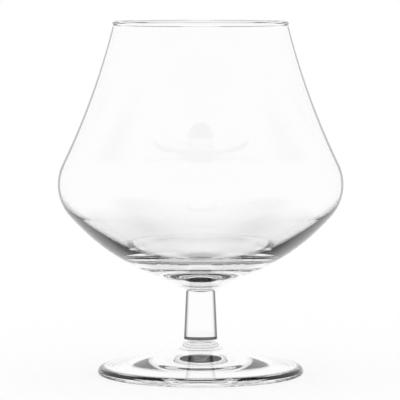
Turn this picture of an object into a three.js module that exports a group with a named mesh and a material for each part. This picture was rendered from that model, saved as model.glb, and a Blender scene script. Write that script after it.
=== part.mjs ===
// Brandy snifter: a blown bowl on a short drawn stem and a pressed foot, fused end to end in clear crystal.
// Millimetres, +Z up. The origin is the centre of the flat ring that the foot stands on.
import * as THREE from "three";

// Foot: a pressed disc whose hub flares up into the stem
const FOOT_DIAMETER = 72.4;
const FOOT_EDGE_RADIUS = 1.6;
const FOOT_TOP_ARC_RADIUS = 104;
const HUB_HEIGHT = 12.4;
const HUB_FILLET_RADIUS = 3.8;
const BASE_HOLLOW_DIAMETER = 66;
const BASE_HOLLOW_DEPTH = 3.6;

// Stem: a drawn rod, wider at the foot than at the bowl
const STEM_LENGTH = 17;
const STEM_FOOT_DIAMETER = 11.8;
const STEM_BOWL_DIAMETER = 10.2;

// Bowl outside: heights are above the stem, slopes and angles are from the horizontal
const BOWL_HEIGHT = 94.6;
const RIM_DIAMETER = 61;
const WALL_ARC_RADIUS = 254;
const BELLY_DIAMETER = 100.2;
const BELLY_HEIGHT = 37.5;
const SHOULDER_RADIUS = 16.5;
const SHOULDER_LOWER_ANGLE = THREE.MathUtils.degToRad(42);
const FLANK_UPPER_REACH = 22.4;
const FLANK_LOWER_REACH = 17.4;
const NECK_SLOPE = THREE.MathUtils.degToRad(28.7);

// Bowl inside: a thin blown wall that thickens into a heavy base, with a soft ridge round the floor's middle
const RIM_WALL = 1.1;
const BELLY_WALL = 1.05;
const BASE_WALL = 5.6;
const INSIDE_SHOULDER_RADIUS = 14.2;
const INSIDE_LOWER_ANGLE = THREE.MathUtils.degToRad(43.7);
const INSIDE_FLANK_REACH = 23;
const INSIDE_BOTTOM_REACH = 6.6;
const RIDGE_RADIUS = 21.5;
const RIDGE_HEIGHT = 1.2;
const RIDGE_WIDTH = 3.3;

// Facets round the axis and steps along each stretch of an outline
const FACETS = 48;
const WALL_STEPS = 9;
const SHOULDER_STEPS = 5;
const FLANK_STEPS = 18;
const ROUND_STEPS = 4;

const point = (radius, height) => new THREE.Vector2(radius, height);

// The point that lies a distance away from a start point, along a direction given as an angle
function reach(start, distance, angle) {
  return point(start.x + distance * Math.cos(angle), start.y + distance * Math.sin(angle));
}

// The angle of the direction from one point to another
function bearing(from, to) {
  return Math.atan2(to.y - from.y, to.x - from.x);
}

// The centre that lies at given distances from two points, on the right of the way between them
function centreAt(first, firstDistance, second, secondDistance) {
  const span = first.distanceTo(second);
  const along = (firstDistance ** 2 - secondDistance ** 2 + span ** 2) / (2 * span);
  const across = Math.sqrt(firstDistance ** 2 - along ** 2);
  const way = bearing(first, second);
  return reach(reach(first, along, way), across, way - Math.PI / 2);
}

function arc(centre, radius, startAngle, endAngle, steps) {
  const clockwise = endAngle < startAngle;
  return new THREE.ArcCurve(centre.x, centre.y, radius, startAngle, endAngle, clockwise).getPoints(steps);
}

// An arc with a point of its own at its crest, so that facets keep the piece's full width or height
function crestedArc(centre, radius, startAngle, crestAngle, endAngle, steps) {
  return outline(
    arc(centre, radius, startAngle, crestAngle, steps),
    arc(centre, radius, crestAngle, endAngle, steps),
  );
}

function flank(start, startHandle, endHandle, end) {
  return new THREE.CubicBezierCurve(start, startHandle, endHandle, end).getPoints(FLANK_STEPS);
}

// Joins stretches that share their end points into one outline
function outline(...stretches) {
  return stretches.flatMap((stretch, index) => (index === 0 ? stretch : stretch.slice(1)));
}

// Each piece is turned about +Z and stands at its own height on the piece below
function turnedPiece(name, profile, height) {
  const glass = new THREE.MeshStandardMaterial({
    color: 0xf3f6f6,
    roughness: 0.03,
    metalness: 0,
    transparent: true,
    opacity: 0.35,
  });
  const geometry = new THREE.LatheGeometry(profile, FACETS).rotateX(Math.PI / 2);
  const piece = new THREE.Mesh(geometry, glass);
  piece.name = name;
  piece.position.z = height;
  return piece;
}

// The foot's outline runs from the hollow underneath, round the edge and up the hub to the stem's seat
function footOutline() {
  const hollowRadius = BASE_HOLLOW_DIAMETER / 2;
  const hollowArcRadius = (hollowRadius ** 2 + BASE_HOLLOW_DEPTH ** 2) / (2 * BASE_HOLLOW_DEPTH);
  const hollowCentre = point(0, BASE_HOLLOW_DEPTH - hollowArcRadius);
  const hollowEnd = Math.acos(hollowRadius / hollowArcRadius);
  const edgeCentre = point(FOOT_DIAMETER / 2 - FOOT_EDGE_RADIUS, FOOT_EDGE_RADIUS);
  const seatRadius = STEM_FOOT_DIAMETER / 2;
  const filletCentre = point(seatRadius + HUB_FILLET_RADIUS, HUB_HEIGHT);
  const topCentre = centreAt(
    edgeCentre,
    FOOT_TOP_ARC_RADIUS + FOOT_EDGE_RADIUS,
    filletCentre,
    FOOT_TOP_ARC_RADIUS - HUB_FILLET_RADIUS,
  );
  const edgeEnd = bearing(edgeCentre, topCentre);
  const filletStart = bearing(topCentre, filletCentre);
  return [
    ...arc(hollowCentre, hollowArcRadius, Math.PI / 2, hollowEnd, ROUND_STEPS),
    ...outline(
      crestedArc(edgeCentre, FOOT_EDGE_RADIUS, -Math.PI / 2, 0, edgeEnd, ROUND_STEPS),
      arc(topCentre, FOOT_TOP_ARC_RADIUS, edgeEnd - Math.PI, filletStart, WALL_STEPS),
      arc(filletCentre, HUB_FILLET_RADIUS, filletStart, -Math.PI, SHOULDER_STEPS),
    ),
    point(0, HUB_HEIGHT),
  ];
}

function stemOutline() {
  return [
    point(0, 0),
    point(STEM_FOOT_DIAMETER / 2, 0),
    point(STEM_BOWL_DIAMETER / 2, STEM_LENGTH),
    point(0, STEM_LENGTH),
  ];
}

// Lifts a point of the bowl's floor by the height that the ridge has at the point's radius
function onRidge(floorPoint) {
  const fromCrest = (floorPoint.x - RIDGE_RADIUS) / RIDGE_WIDTH;
  return point(floorPoint.x, floorPoint.y + RIDGE_HEIGHT * Math.exp(-(fromCrest ** 2)));
}

// The bowl's outline runs from its seat on the stem up the outside, over the lip and down the inside.
// The wall arcs touch the shoulder arcs and the half-round lip, so the wall keeps its thickness smoothly.
function bowlOutline() {
  const seat = point(STEM_BOWL_DIAMETER / 2, 0);
  const shoulderCentre = point(BELLY_DIAMETER / 2 - SHOULDER_RADIUS, BELLY_HEIGHT);
  const lipRadius = RIM_WALL / 2;
  const lipCentre = point(RIM_DIAMETER / 2 - lipRadius, BOWL_HEIGHT - lipRadius);

  const outerWallCentre = centreAt(
    shoulderCentre,
    WALL_ARC_RADIUS + SHOULDER_RADIUS,
    lipCentre,
    WALL_ARC_RADIUS + lipRadius,
  );
  const outerShoulderEnd = bearing(shoulderCentre, outerWallCentre);
  const outerLip = bearing(lipCentre, outerWallCentre);
  const outerFlankEnd = reach(shoulderCentre, SHOULDER_RADIUS, -SHOULDER_LOWER_ANGLE);

  const innerShoulderCentre = point(BELLY_DIAMETER / 2 - BELLY_WALL - INSIDE_SHOULDER_RADIUS, BELLY_HEIGHT);
  const innerWallRadius = WALL_ARC_RADIUS + RIM_WALL;
  const innerWallCentre = centreAt(
    innerShoulderCentre,
    innerWallRadius + INSIDE_SHOULDER_RADIUS,
    lipCentre,
    innerWallRadius - lipRadius,
  );
  const innerShoulderStart = bearing(innerShoulderCentre, innerWallCentre);
  const innerLip = bearing(lipCentre, innerWallCentre) + Math.PI;
  const innerFlankStart = reach(innerShoulderCentre, INSIDE_SHOULDER_RADIUS, -INSIDE_LOWER_ANGLE);
  const bottom = point(0, BASE_WALL);

  return outline(
    [point(0, 0), seat],
    flank(
      seat,
      reach(seat, FLANK_LOWER_REACH, NECK_SLOPE),
      reach(outerFlankEnd, FLANK_UPPER_REACH, -SHOULDER_LOWER_ANGLE - Math.PI / 2),
      outerFlankEnd,
    ),
    crestedArc(shoulderCentre, SHOULDER_RADIUS, -SHOULDER_LOWER_ANGLE, 0, outerShoulderEnd, SHOULDER_STEPS),
    arc(outerWallCentre, WALL_ARC_RADIUS, outerShoulderEnd + Math.PI, outerLip + Math.PI, WALL_STEPS),
    crestedArc(lipCentre, lipRadius, outerLip, Math.PI / 2, innerLip, ROUND_STEPS),
    arc(innerWallCentre, innerWallRadius, innerLip, innerShoulderStart + Math.PI, WALL_STEPS),
    crestedArc(
      innerShoulderCentre,
      INSIDE_SHOULDER_RADIUS,
      innerShoulderStart,
      0,
      -INSIDE_LOWER_ANGLE,
      SHOULDER_STEPS,
    ),
    flank(
      innerFlankStart,
      reach(innerFlankStart, INSIDE_FLANK_REACH, -INSIDE_LOWER_ANGLE - Math.PI / 2),
      reach(bottom, INSIDE_BOTTOM_REACH, 0),
      bottom,
    ).map(onRidge),
  );
}

const glass = new THREE.Group();
glass.name = "brandy_snifter";
glass.add(
  turnedPiece("foot", footOutline(), 0),
  turnedPiece("stem", stemOutline(), HUB_HEIGHT),
  turnedPiece("bowl", bowlOutline(), HUB_HEIGHT + STEM_LENGTH),
);

export default glass;
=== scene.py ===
"""Clear crystal brandy snifter: smooth glass for the bowl, the stem and the foot, in a white studio."""
import math

import bpy
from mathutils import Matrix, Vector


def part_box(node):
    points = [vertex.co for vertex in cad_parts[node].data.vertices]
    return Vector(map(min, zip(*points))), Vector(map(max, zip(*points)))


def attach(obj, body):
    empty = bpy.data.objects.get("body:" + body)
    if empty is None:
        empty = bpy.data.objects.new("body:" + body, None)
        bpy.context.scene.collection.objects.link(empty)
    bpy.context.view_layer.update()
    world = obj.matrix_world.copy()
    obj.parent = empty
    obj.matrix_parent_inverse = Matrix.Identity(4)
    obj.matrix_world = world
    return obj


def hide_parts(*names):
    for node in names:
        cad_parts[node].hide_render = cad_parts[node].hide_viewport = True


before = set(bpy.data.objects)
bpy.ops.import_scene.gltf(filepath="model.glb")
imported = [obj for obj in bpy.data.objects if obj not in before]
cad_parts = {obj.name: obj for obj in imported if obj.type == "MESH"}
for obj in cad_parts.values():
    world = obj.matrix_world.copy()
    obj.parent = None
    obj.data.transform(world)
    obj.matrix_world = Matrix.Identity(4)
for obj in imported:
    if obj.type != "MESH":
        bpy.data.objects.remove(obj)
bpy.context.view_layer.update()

# The glass's sizes are in millimetres
MM = 0.001

# Foot: a pressed disc whose hub flares up into the stem
FOOT_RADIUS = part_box("foot")[1][0] / MM
FOOT_EDGE_LOWER_RADIUS = 0.9
FOOT_EDGE_UPPER_RADIUS = 2
FOOT_TOP_ARC_RADIUS = 104
HUB_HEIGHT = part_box("stem")[0][2] / MM
HUB_FILLET_RADIUS = 3.8
BASE_HOLLOW_RADIUS = 33
BASE_HOLLOW_DEPTH = 3.6

# Stem: a drawn rod, wider at the foot than at the bowl
STEM_FOOT_RADIUS = 5.9
STEM_BOWL_RADIUS = 5.1
BOWL_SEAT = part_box("bowl")[0][2] / MM

# Bowl outside: slopes and angles are from the horizontal
RIM_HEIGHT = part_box("bowl")[1][2] / MM
RIM_RADIUS = 30.5
WALL_ARC_RADIUS = 254
BELLY_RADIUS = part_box("bowl")[1][0] / MM
BELLY_HEIGHT = BOWL_SEAT + 37.5
SHOULDER_RADIUS = 16.5
SHOULDER_LOWER_ANGLE = math.radians(42)
FLANK_UPPER_REACH = 22.4
FLANK_LOWER_REACH = 17.4
NECK_SLOPE = math.radians(28.7)

# Bowl wall and inside: thin glass with a bead at the rim, a heavy base, and a soft ridge round the floor
RIM_WALL = 1.1
RIM_BEAD_RADIUS = 0.9
BELLY_WALL = 1.05
BASE_WALL = 7.7
INSIDE_SHOULDER_RADIUS = 14.2
INSIDE_LOWER_ANGLE = math.radians(44)
INSIDE_FLANK_REACH = 27
INSIDE_BOTTOM_REACH = 8
RIDGE_RADIUS = 24
RIDGE_HEIGHT = 1.2
RIDGE_WIDTH = 1.6

# Facets round the axis, steps along an outline, and what counts as a corner or as one place
FACETS = 192
CURVE_STEP = 0.5
ARC_STEPS_MIN = 6
STEM_STEPS = 48
SHARP_ANGLE = math.radians(14)
MERGE_DISTANCE = 0.002
SEAM_TOLERANCE = 0.001

# Painted shade: dark lines painted into the glass's colour and reflection where it is seen nearly edge on;
# heights up the bowl and radii on the foot
PAINTED_SHADE_ATTRIBUTE = "painted_edge_shade"
BOWL_PAINTED_SHADE_START = BELLY_HEIGHT - 9
BOWL_PAINTED_SHADE_FULL = BELLY_HEIGHT - 3
BOWL_PAINTED_SHADE_END = RIM_HEIGHT - 2 * RIM_BEAD_RADIUS
FOOT_PAINTED_SHADE_FULL = FOOT_RADIUS - FOOT_EDGE_UPPER_RADIUS
FOOT_PAINTED_SHADE_START = FOOT_PAINTED_SHADE_FULL - FOOT_EDGE_UPPER_RADIUS / 2

# Crystal, with faint wear on its polish, and the share of light that each side of a fused seam lets
# through, a painted shade that darkens the joints
GLASS_IOR = 1.52
WEAR_SCALE = 240
WEAR_DETAIL = 4
WEAR_ROUGHNESS = 0.03
PAINTED_SHADE_SEAM_CLEARNESS = 0.2

# Studio: the shares of white that the glass sees, and the degrees from level where each begins and is full.
# Ceiling, low wall and ground are on the far side only, which fades out between two bearings.
WALL_WHITE = 0.98
CEILING_WHITE = 0.1
CEILING_RISE = (40, 55)
LOW_WALL_WHITE = 0.6
LOW_WALL_DROP = (30, 40)
GROUND_WHITE = 0.05
GROUND_DROP = (43, 58)
UNDERNEATH_WHITE = 0.95
UNDERNEATH_DROP = (58, 85)
FAR_SIDE_END = (80, 110)

# Light that stays in the thick glass for more bounces than this is left dark
LIGHT_BOUNCES = 10

# Table, in metres, and what of its white comes from the light that falls on it; the rest is its own glow
TABLE_WIDTH = 6
TABLE_WHITE = 0.2

# Camera, in metres and a sensor in millimetres: the photograph's own angle and distance
CAMERA_PLACE = (-0.00022, -1.0035, 0.1365)
CAMERA_DIP = math.radians(4.286)
CAMERA_LENS = 258.1
CAMERA_SENSOR = 36


def reach(start, distance, angle):
    """The point a distance away from a start point, along a direction given as an angle."""
    return start[0] + distance * math.cos(angle), start[1] + distance * math.sin(angle)


def bearing(start, end):
    """The direction from one point to another, as an angle."""
    return math.atan2(end[1] - start[1], end[0] - start[0])


def centre_at(first, first_distance, second, second_distance):
    """The centre at given distances from two points, on the right of the way between them."""
    span = math.dist(first, second)
    along = (first_distance ** 2 - second_distance ** 2 + span ** 2) / (2 * span)
    across = math.sqrt(first_distance ** 2 - along ** 2)
    way = bearing(first, second)
    return reach(reach(first, along, way), across, way - math.pi / 2)


def arc(centre, radius, start, end):
    """Points round a centre, from one direction to another."""
    steps = max(ARC_STEPS_MIN, math.ceil(abs(end - start) * radius / CURVE_STEP))
    return [reach(centre, radius, start + (end - start) * step / steps) for step in range(steps + 1)]


def flank(start, start_handle, end_handle, end):
    """Points along a cubic curve that leaves and meets its ends in the direction of their handles."""
    steps = math.ceil(math.dist(start, end) / CURVE_STEP)
    points = []
    for step in range(steps + 1):
        gone = step / steps
        left = 1 - gone
        weights = (left ** 3, 3 * gone * left ** 2, 3 * gone ** 2 * left, gone ** 3)
        pulls = list(zip(weights, (start, start_handle, end_handle, end)))
        points.append(tuple(sum(weight * point[axis] for weight, point in pulls) for axis in (0, 1)))
    return points


def outline(*stretches):
    """Joins stretches that share their end points into one outline."""
    joined = list(stretches[0])
    for stretch in stretches[1:]:
        joined += stretch[1:]
    return joined


def foot_outline():
    """From the hollow underneath, round the edge and up the hub to the stem's seat."""
    hollow_arc = (BASE_HOLLOW_RADIUS ** 2 + BASE_HOLLOW_DEPTH ** 2) / (2 * BASE_HOLLOW_DEPTH)
    hollow_centre = (0, BASE_HOLLOW_DEPTH - hollow_arc)
    hollow_end = math.acos(BASE_HOLLOW_RADIUS / hollow_arc)
    lower_edge_centre = (FOOT_RADIUS - FOOT_EDGE_LOWER_RADIUS, FOOT_EDGE_LOWER_RADIUS)
    edge_centre = (FOOT_RADIUS - FOOT_EDGE_UPPER_RADIUS, FOOT_EDGE_LOWER_RADIUS)
    fillet_centre = (STEM_FOOT_RADIUS + HUB_FILLET_RADIUS, HUB_HEIGHT)
    top_centre = centre_at(
        edge_centre,
        FOOT_TOP_ARC_RADIUS + FOOT_EDGE_UPPER_RADIUS,
        fillet_centre,
        FOOT_TOP_ARC_RADIUS - HUB_FILLET_RADIUS,
    )
    edge_end = bearing(edge_centre, top_centre)
    fillet_start = bearing(top_centre, fillet_centre)
    hollow = arc(hollow_centre, hollow_arc, math.pi / 2, hollow_end)
    lower_edge = arc(lower_edge_centre, FOOT_EDGE_LOWER_RADIUS, -math.pi / 2, 0)
    edge = arc(edge_centre, FOOT_EDGE_UPPER_RADIUS, 0, edge_end)
    top = arc(top_centre, FOOT_TOP_ARC_RADIUS, edge_end - math.pi, fillet_start)
    fillet = arc(fillet_centre, HUB_FILLET_RADIUS, fillet_start, -math.pi)
    return hollow + outline(lower_edge, edge, top, fillet) + [(0, HUB_HEIGHT)]


def stem_outline():
    """From the middle of the hub's seat up the side to the middle of the bowl's seat."""
    side = []
    for step in range(STEM_STEPS + 1):
        radius = STEM_FOOT_RADIUS + (STEM_BOWL_RADIUS - STEM_FOOT_RADIUS) * step / STEM_STEPS
        height = HUB_HEIGHT + (BOWL_SEAT - HUB_HEIGHT) * step / STEM_STEPS
        side.append((radius, height))
    return [(0, HUB_HEIGHT)] + side + [(0, BOWL_SEAT)]


def ridge(radius):
    """The height of the soft ring of glass that stands round the middle of the bowl's floor."""
    return RIDGE_HEIGHT * math.exp(-((radius - RIDGE_RADIUS) / RIDGE_WIDTH) ** 2)


def bowl_outline():
    """From the seat on the stem up the outside, over the lip and down the inside."""
    seat = (STEM_BOWL_RADIUS, BOWL_SEAT)
    shoulder_centre = (BELLY_RADIUS - SHOULDER_RADIUS, BELLY_HEIGHT)
    lip_radius = RIM_WALL / 2
    lip_centre = (RIM_RADIUS - lip_radius, RIM_HEIGHT - RIM_BEAD_RADIUS)
    bead_turn = math.acos(lip_radius / RIM_BEAD_RADIUS)
    bead_reach = RIM_BEAD_RADIUS * math.sin(bead_turn)

    outer_wall_centre = centre_at(
        shoulder_centre, WALL_ARC_RADIUS + SHOULDER_RADIUS, lip_centre, WALL_ARC_RADIUS + lip_radius
    )
    outer_shoulder_end = bearing(shoulder_centre, outer_wall_centre)
    outer_lip = bearing(lip_centre, outer_wall_centre)
    outer_bead = outer_lip + math.pi + bead_reach / WALL_ARC_RADIUS
    outer_flank_end = reach(shoulder_centre, SHOULDER_RADIUS, -SHOULDER_LOWER_ANGLE)

    inner_shoulder_centre = (BELLY_RADIUS - BELLY_WALL - INSIDE_SHOULDER_RADIUS, BELLY_HEIGHT)
    inner_wall = WALL_ARC_RADIUS + RIM_WALL
    inner_wall_centre = centre_at(
        inner_shoulder_centre, inner_wall + INSIDE_SHOULDER_RADIUS, lip_centre, inner_wall - lip_radius
    )
    inner_shoulder_start = bearing(inner_shoulder_centre, inner_wall_centre)
    inner_lip = bearing(lip_centre, inner_wall_centre) + math.pi
    inner_bead = inner_lip + bead_reach / inner_wall
    inner_flank_start = reach(inner_shoulder_centre, INSIDE_SHOULDER_RADIUS, -INSIDE_LOWER_ANGLE)
    bottom = (0, BOWL_SEAT + BASE_WALL)
    inside = flank(
        inner_flank_start,
        reach(inner_flank_start, INSIDE_FLANK_REACH, -INSIDE_LOWER_ANGLE - math.pi / 2),
        reach(bottom, INSIDE_BOTTOM_REACH, 0),
        bottom,
    )

    return outline(
        [(0, BOWL_SEAT), seat],
        flank(
            seat,
            reach(seat, FLANK_LOWER_REACH, NECK_SLOPE),
            reach(outer_flank_end, FLANK_UPPER_REACH, -SHOULDER_LOWER_ANGLE - math.pi / 2),
            outer_flank_end,
        ),
        arc(shoulder_centre, SHOULDER_RADIUS, -SHOULDER_LOWER_ANGLE, outer_shoulder_end),
        arc(outer_wall_centre, WALL_ARC_RADIUS, outer_shoulder_end + math.pi, outer_bead),
        arc(lip_centre, RIM_BEAD_RADIUS, outer_lip - bead_turn, inner_lip + bead_turn),
        arc(inner_wall_centre, inner_wall, inner_bead, inner_shoulder_start + math.pi),
        arc(inner_shoulder_centre, INSIDE_SHOULDER_RADIUS, inner_shoulder_start, -INSIDE_LOWER_ANGLE),
        [(radius, height + ridge(radius)) for radius, height in inside],
    )


def rise(value, start, end):
    """From 0 at the start to 1 at the end."""
    return min(1, max(0, (value - start) / (end - start)))


def bowl_painted_shade_shares(points):
    """The bowl's painted shade line runs up the outside, from below the belly to the bead of the rim."""
    heights = [height for radius, height in points]
    lip = heights.index(max(heights))
    return [
        rise(height, BOWL_PAINTED_SHADE_START, BOWL_PAINTED_SHADE_FULL) * (index <= lip and height < BOWL_PAINTED_SHADE_END)
        for index, height in enumerate(heights)
    ]


def foot_painted_shade_shares(points):
    """The foot's painted shade line is on its rounded edge."""
    return [rise(radius, FOOT_PAINTED_SHADE_START, FOOT_PAINTED_SHADE_FULL) for radius, height in points]


def turning_tree():
    """Geometry nodes that turn an outline about the upright axis into a closed, smooth piece."""
    tree = bpy.data.node_groups.new("turned_on_the_axis", "GeometryNodeTree")
    tree.is_modifier = True
    tree.interface.new_socket("Outline", in_out="INPUT", socket_type="NodeSocketGeometry")
    tree.interface.new_socket("Facets", in_out="INPUT", socket_type="NodeSocketInt")
    tree.interface.new_socket("Sharp Angle", in_out="INPUT", socket_type="NodeSocketFloat")
    tree.interface.new_socket("Lower Seam", in_out="INPUT", socket_type="NodeSocketFloat")
    tree.interface.new_socket("Upper Seam", in_out="INPUT", socket_type="NodeSocketFloat")
    # The name of the outline's share of painted edge shade
    tree.interface.new_socket("Painted Edge Shade", in_out="INPUT", socket_type="NodeSocketString")
    tree.interface.new_socket("Glass", in_out="INPUT", socket_type="NodeSocketMaterial")
    tree.interface.new_socket("Seam", in_out="INPUT", socket_type="NodeSocketMaterial")
    tree.interface.new_socket("Piece", in_out="OUTPUT", socket_type="NodeSocketGeometry")

    def add(kind, **settings):
        node = tree.nodes.new(kind)
        for name, value in settings.items():
            setattr(node, name, value)
        return node

    def join(source, target):
        tree.links.new(source, target)

    given = add("NodeGroupInput").outputs

    # A flat grid with one row for each point of the outline and one column for each facet
    outline_size = add("GeometryNodeAttributeDomainSize", component="MESH")
    join(given["Outline"], outline_size.inputs["Geometry"])
    columns = add("ShaderNodeMath", operation="ADD")
    join(given["Facets"], columns.inputs[0])
    columns.inputs[1].default_value = 1
    grid = add("GeometryNodeMeshGrid")
    join(columns.outputs[0], grid.inputs["Vertices X"])
    join(outline_size.outputs["Point Count"], grid.inputs["Vertices Y"])

    # Each grid point takes its row's place on the outline and its column's angle round the axis
    index = add("GeometryNodeInputIndex")
    row = add("ShaderNodeMath", operation="MODULO")
    join(index.outputs[0], row.inputs[0])
    join(outline_size.outputs["Point Count"], row.inputs[1])
    before_column = add("ShaderNodeMath", operation="SUBTRACT")
    join(index.outputs[0], before_column.inputs[0])
    join(row.outputs[0], before_column.inputs[1])
    column = add("ShaderNodeMath", operation="DIVIDE")
    join(before_column.outputs[0], column.inputs[0])
    join(outline_size.outputs["Point Count"], column.inputs[1])
    turn = add("ShaderNodeMath", operation="DIVIDE")
    join(column.outputs[0], turn.inputs[0])
    join(given["Facets"], turn.inputs[1])
    angle = add("ShaderNodeMath", operation="MULTIPLY")
    join(turn.outputs[0], angle.inputs[0])
    angle.inputs[1].default_value = 2 * math.pi
    place = add("GeometryNodeInputPosition")
    on_outline = add("GeometryNodeSampleIndex", data_type="FLOAT_VECTOR", domain="POINT")
    join(given["Outline"], on_outline.inputs["Geometry"])
    join(place.outputs[0], on_outline.inputs["Value"])
    join(row.outputs[0], on_outline.inputs["Index"])
    turned = add("ShaderNodeVectorRotate", rotation_type="Z_AXIS")
    join(on_outline.outputs["Value"], turned.inputs["Vector"])
    join(angle.outputs[0], turned.inputs["Angle"])
    wrapped = add("GeometryNodeSetPosition")
    join(grid.outputs["Mesh"], wrapped.inputs["Geometry"])
    join(turned.outputs[0], wrapped.inputs["Position"])

    # The outline's own measure of its painted edge shade goes along with its points
    painted_shade_on_outline = add("GeometryNodeInputNamedAttribute", data_type="FLOAT")
    join(given["Painted Edge Shade"], painted_shade_on_outline.inputs["Name"])
    painted_share = add("GeometryNodeSampleIndex", data_type="FLOAT", domain="POINT")
    join(given["Outline"], painted_share.inputs["Geometry"])
    join(painted_shade_on_outline.outputs["Attribute"], painted_share.inputs["Value"])
    join(row.outputs[0], painted_share.inputs["Index"])
    with_painted_shade = add("GeometryNodeStoreNamedAttribute", data_type="FLOAT", domain="POINT")
    join(wrapped.outputs[0], with_painted_shade.inputs["Geometry"])
    join(given["Painted Edge Shade"], with_painted_shade.inputs["Name"])
    join(painted_share.outputs["Value"], with_painted_shade.inputs["Value"])
    closed = add("GeometryNodeMergeByDistance")
    join(with_painted_shade.outputs[0], closed.inputs["Geometry"])
    closed.inputs["Distance"].default_value = MERGE_DISTANCE * MM

    # Smooth all over, with an edge kept only where the outline has a real corner
    smooth = add("GeometryNodeSetShadeSmooth", domain="FACE")
    join(closed.outputs[0], smooth.inputs["Geometry"])
    bend = add("GeometryNodeInputMeshEdgeAngle")
    corner = add("FunctionNodeCompare", data_type="FLOAT", operation="GREATER_THAN")
    join(bend.outputs["Unsigned Angle"], corner.inputs["A"])
    join(given["Sharp Angle"], corner.inputs["B"])
    edged = add("GeometryNodeSetShadeSmooth", domain="EDGE")
    join(smooth.outputs[0], edged.inputs["Geometry"])
    join(corner.outputs[0], edged.inputs["Selection"])
    edged.inputs["Shade Smooth"].default_value = False

    # Glass everywhere, apart from the flat faces where the pieces are fused, which get the seam's painted
    # shade
    real = add("GeometryNodeRealizeInstances")
    join(edged.outputs[0], real.inputs["Geometry"])
    glass = add("GeometryNodeSetMaterial")
    join(real.outputs[0], glass.inputs["Geometry"])
    join(given["Glass"], glass.inputs["Material"])
    height = add("ShaderNodeSeparateXYZ")
    join(place.outputs[0], height.inputs[0])
    piece = glass
    for seam in ("Lower Seam", "Upper Seam"):
        level = add("FunctionNodeCompare", data_type="FLOAT", operation="EQUAL")
        join(height.outputs["Z"], level.inputs["A"])
        join(given[seam], level.inputs["B"])
        level.inputs["Epsilon"].default_value = SEAM_TOLERANCE * MM
        fused = add("GeometryNodeSetMaterial")
        join(piece.outputs[0], fused.inputs["Geometry"])
        join(level.outputs[0], fused.inputs["Selection"])
        join(given["Seam"], fused.inputs["Material"])
        piece = fused
    join(piece.outputs[0], add("NodeGroupOutput").inputs["Piece"])
    return tree


def turned_piece(name, points, painted_shade_shares, lower_seam, upper_seam, glass):
    """A piece of glass turned from an outline in millimetres, as a plain mesh."""
    mesh = bpy.data.meshes.new(name)
    edges = [(first, first + 1) for first in range(len(points) - 1)]
    mesh.from_pydata([(radius * MM, 0, height * MM) for radius, height in points], edges, [])
    # Each outline point carries its share of the painted edge shade
    mesh.attributes.new(PAINTED_SHADE_ATTRIBUTE, "FLOAT", "POINT").data.foreach_set("value", painted_shade_shares)
    piece = bpy.data.objects.new(name, mesh)
    bpy.context.scene.collection.objects.link(piece)
    modifier = piece.modifiers.new("turning", "NODES")
    modifier.node_group = TURNING
    settings = {
        "Facets": FACETS,
        "Sharp Angle": SHARP_ANGLE,
        "Lower Seam": lower_seam * MM,
        "Upper Seam": upper_seam * MM,
        "Painted Edge Shade": PAINTED_SHADE_ATTRIBUTE,
        "Glass": glass,
        "Seam": SEAM_SHADE,
    }
    for socket in TURNING.interface.items_tree:
        if socket.name in settings:
            modifier[socket.identifier] = settings[socket.name]
    evaluated = piece.evaluated_get(bpy.context.evaluated_depsgraph_get())
    turned = bpy.data.meshes.new_from_object(evaluated)
    piece.modifiers.remove(modifier)
    piece.data = turned
    bpy.data.meshes.remove(mesh)
    turned.name = name
    return piece


def in_use(sockets):
    """The sockets that a node shows for its kind of data."""
    return [socket for socket in sockets if socket.enabled]


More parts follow.
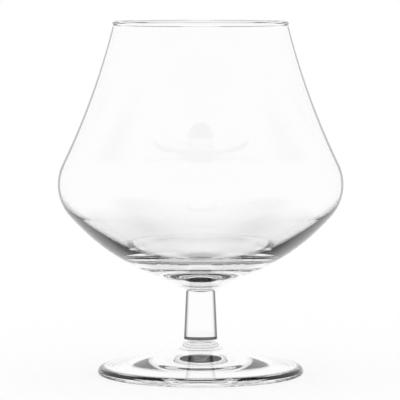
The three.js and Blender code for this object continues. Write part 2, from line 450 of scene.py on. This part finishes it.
def crystal(name, wave_scale, wave_depth, painted_shade_start, painted_shade_full, painted_shade_grey):
    """Clear glass with the soft waves of its making, faint wear, and a painted shade: a dark line painted
    into its colour and reflection where it is seen edge on.

    The waves' scale is given along each axis, in waves for each metre, and their depth in millimetres. The
    painted shade line starts and is full at given shares of a turn away from the viewer: 0 is face on and 1
    is edge on.
    """
    material = bpy.data.materials.new(name)
    material.use_nodes = True
    nodes = material.node_tree.nodes
    links = material.node_tree.links
    shader = nodes["Principled BSDF"]
    shader.inputs["IOR"].default_value = GLASS_IOR
    shader.inputs["Transmission Weight"].default_value = 1

    place = nodes.new("ShaderNodeTexCoord").outputs["Object"]
    stretch = nodes.new("ShaderNodeMapping")
    stretch.inputs["Scale"].default_value = wave_scale
    links.new(place, stretch.inputs["Vector"])
    waves = nodes.new("ShaderNodeTexNoise")
    waves.inputs["Scale"].default_value = 1
    waves.inputs["Detail"].default_value = 1
    links.new(stretch.outputs[0], waves.inputs["Vector"])
    relief = nodes.new("ShaderNodeBump")
    relief.inputs["Strength"].default_value = 1
    relief.inputs["Distance"].default_value = wave_depth * MM
    links.new(waves.outputs["Fac"], relief.inputs["Height"])
    links.new(relief.outputs[0], shader.inputs["Normal"])

    wear = nodes.new("ShaderNodeTexNoise")
    wear.inputs["Scale"].default_value = WEAR_SCALE
    wear.inputs["Detail"].default_value = WEAR_DETAIL
    links.new(place, wear.inputs["Vector"])
    polish = nodes.new("ShaderNodeMapRange")
    polish.inputs["To Max"].default_value = WEAR_ROUGHNESS
    links.new(wear.outputs["Fac"], polish.inputs["Value"])
    links.new(polish.outputs[0], shader.inputs["Roughness"])

    # Painted shade: where the glass turns edge on and its outline allows, its colour and the tint of its
    # reflection are darkened
    facing = nodes.new("ShaderNodeLayerWeight").outputs["Facing"]
    edge_on = nodes.new("ShaderNodeMapRange")
    edge_on.interpolation_type = "SMOOTHSTEP"
    edge_on.inputs["From Min"].default_value = painted_shade_start
    edge_on.inputs["From Max"].default_value = painted_shade_full
    links.new(facing, edge_on.inputs["Value"])
    painted_share = nodes.new("ShaderNodeAttribute")
    painted_share.attribute_name = PAINTED_SHADE_ATTRIBUTE
    painted_shade_amount = nodes.new("ShaderNodeMath")
    painted_shade_amount.operation = "MULTIPLY"
    links.new(edge_on.outputs[0], painted_shade_amount.inputs[0])
    links.new(painted_share.outputs["Fac"], painted_shade_amount.inputs[1])
    painted_shade_tint = nodes.new("ShaderNodeMix")
    painted_shade_tint.data_type = "RGBA"
    share, clear, shaded = in_use(painted_shade_tint.inputs)
    links.new(painted_shade_amount.outputs[0], share)
    clear.default_value = (1, 1, 1, 1)
    shaded.default_value = (painted_shade_grey, painted_shade_grey, painted_shade_grey, 1)
    for socket in ("Base Color", "Specular Tint"):
        links.new(in_use(painted_shade_tint.outputs)[0], shader.inputs[socket])
    return material


def fused_seam_painted_shade():
    """The faces where two pieces are melted together: they bend no light, but dim what crosses them, a
    painted shade on the joints.
    """
    material = bpy.data.materials.new("fused_seam_painted_shade")
    material.use_nodes = True
    nodes = material.node_tree.nodes
    nodes.remove(nodes["Principled BSDF"])
    clear = nodes.new("ShaderNodeBsdfTransparent")
    # Painted shade: each seam face passes only part of the light, which darkens the joints
    clear.inputs["Color"].default_value = (PAINTED_SHADE_SEAM_CLEARNESS, PAINTED_SHADE_SEAM_CLEARNESS, PAINTED_SHADE_SEAM_CLEARNESS, 1)
    material.node_tree.links.new(clear.outputs[0], nodes["Material Output"].inputs["Surface"])
    return material


TURNING = turning_tree()
SEAM_SHADE = fused_seam_painted_shade()

# A height below the glass, for the seam that the foot and the bowl don't have
NO_SEAM = -1

# Each piece's glass has its own painted edge shade: where it starts, where it is full, and how dark it is
foot_glass = crystal(
    "crystal_foot",
    wave_scale=(60, 60, 60),
    wave_depth=0.01,
    painted_shade_start=0.35,
    painted_shade_full=0.75,
    painted_shade_grey=0.1,
)
foot_points = foot_outline()
foot_painted_shade = foot_painted_shade_shares(foot_points)
foot = turned_piece("pressed_foot", foot_points, foot_painted_shade, NO_SEAM, HUB_HEIGHT, foot_glass)

stem_glass = crystal(
    "crystal_stem",
    wave_scale=(160, 160, 30),
    wave_depth=0.01,
    painted_shade_start=0.3,
    painted_shade_full=0.6,
    painted_shade_grey=0.02,
)
stem_points = stem_outline()
# The painted edge shade runs all along the stem
stem_painted_shade = [1] * len(stem_points)
stem = turned_piece("drawn_stem", stem_points, stem_painted_shade, HUB_HEIGHT, BOWL_SEAT, stem_glass)

bowl_glass = crystal(
    "crystal_bowl",
    wave_scale=(30, 30, 60),
    wave_depth=0.02,
    painted_shade_start=0.8,
    painted_shade_full=0.84,
    painted_shade_grey=0.02,
)
bowl_points = bowl_outline()
bowl_painted_shade = bowl_painted_shade_shares(bowl_points)
bowl = turned_piece("blown_bowl", bowl_points, bowl_painted_shade, BOWL_SEAT, NO_SEAM, bowl_glass)

for piece, node in ((foot, "foot"), (stem, "stem"), (bowl, "bowl")):
    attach(piece, "root")
    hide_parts(node)


def studio():
    """White all round for the camera.

    The glass sees white walls and, on the far side, a dark ceiling and a dark ground.
    """
    world = bpy.data.worlds.new("studio")
    bpy.context.scene.world = world
    world.use_nodes = True
    nodes = world.node_tree.nodes
    links = world.node_tree.links

    def operate(operation, first, second=None):
        """A sum on numbers or sockets."""
        node = nodes.new("ShaderNodeMath")
        node.operation = operation
        for socket, value in zip(node.inputs, (first, second)):
            if isinstance(value, (int, float)):
                socket.default_value = value
            elif value is not None:
                links.new(value, socket)
        return node.outputs[0]

    def ramp(angle, start, end):
        """Rises smoothly from 0 to 1 between two angles in degrees."""
        node = nodes.new("ShaderNodeMapRange")
        node.interpolation_type = "SMOOTHSTEP"
        links.new(angle, node.inputs["Value"])
        node.inputs["From Min"].default_value = math.radians(start)
        node.inputs["From Max"].default_value = math.radians(end)
        return node.outputs["Result"]

    def blend(brightness, patch_brightness, mask):
        """One brightness, and another where the mask is 1."""
        node = nodes.new("ShaderNodeMix")
        for socket, value in zip(in_use(node.inputs), (mask, brightness, patch_brightness)):
            if isinstance(value, (int, float)):
                socket.default_value = value
            else:
                links.new(value, socket)
        return node.outputs[0]

    way = nodes.new("ShaderNodeTexCoord")
    parts = nodes.new("ShaderNodeSeparateXYZ")
    links.new(way.outputs["Generated"], parts.inputs[0])
    side = operate("ABSOLUTE", operate("ARCTAN2", parts.outputs["X"], parts.outputs["Y"]))
    above = operate("ARCSINE", parts.outputs["Z"])
    below = operate("MULTIPLY", above, -1)

    far_side = operate("SUBTRACT", 1, ramp(side, *FAR_SIDE_END))
    light = blend(WALL_WHITE, CEILING_WHITE, operate("MULTIPLY", ramp(above, *CEILING_RISE), far_side))
    light = blend(light, LOW_WALL_WHITE, operate("MULTIPLY", ramp(below, *LOW_WALL_DROP), far_side))
    light = blend(light, GROUND_WHITE, operate("MULTIPLY", ramp(below, *GROUND_DROP), far_side))
    light = blend(light, UNDERNEATH_WHITE, ramp(below, *UNDERNEATH_DROP))
    path = nodes.new("ShaderNodeLightPath")
    through_glass = operate("MAXIMUM", path.outputs["Is Transmission Ray"], path.outputs["Is Glossy Ray"])
    links.new(blend(1, light, through_glass), nodes["Background"].inputs["Strength"])
    nodes["Background"].inputs["Color"].default_value = (1, 1, 1, 1)


def table():
    """A white table top that glows as the backdrop does and keeps the glass's faint shadow."""
    mesh = bpy.data.meshes.new("table")
    half = TABLE_WIDTH / 2
    corners = [(-half, -half, 0), (half, -half, 0), (half, half, 0), (-half, half, 0)]
    mesh.from_pydata(corners, [], [(0, 1, 2, 3)])
    top = bpy.data.objects.new("table", mesh)
    bpy.context.scene.collection.objects.link(top)
    material = bpy.data.materials.new("table_top")
    material.use_nodes = True
    shader = material.node_tree.nodes["Principled BSDF"]
    shader.inputs["Base Color"].default_value = (TABLE_WHITE, TABLE_WHITE, TABLE_WHITE, 1)
    shader.inputs["Specular IOR Level"].default_value = 0
    shader.inputs["Roughness"].default_value = 1
    shader.inputs["Emission Color"].default_value = (1, 1, 1, 1)
    shader.inputs["Emission Strength"].default_value = 1 - TABLE_WHITE
    mesh.materials.append(material)
    top.visible_transmission = False
    top.visible_glossy = False


studio()
table()

lens = bpy.data.cameras.new("camera")
lens.lens = CAMERA_LENS
lens.sensor_width = CAMERA_SENSOR
camera = bpy.data.objects.new("camera", lens)
camera.location = CAMERA_PLACE
camera.rotation_euler = (math.pi / 2 - CAMERA_DIP, 0, 0)
bpy.context.scene.collection.objects.link(camera)
bpy.context.scene.camera = camera
bpy.context.scene.view_settings.view_transform = "Standard"

bpy.context.scene.cycles.max_bounces = LIGHT_BOUNCES
bpy.context.scene.cycles.glossy_bounces = LIGHT_BOUNCES
bpy.context.scene.cycles.transmission_bounces = LIGHT_BOUNCES
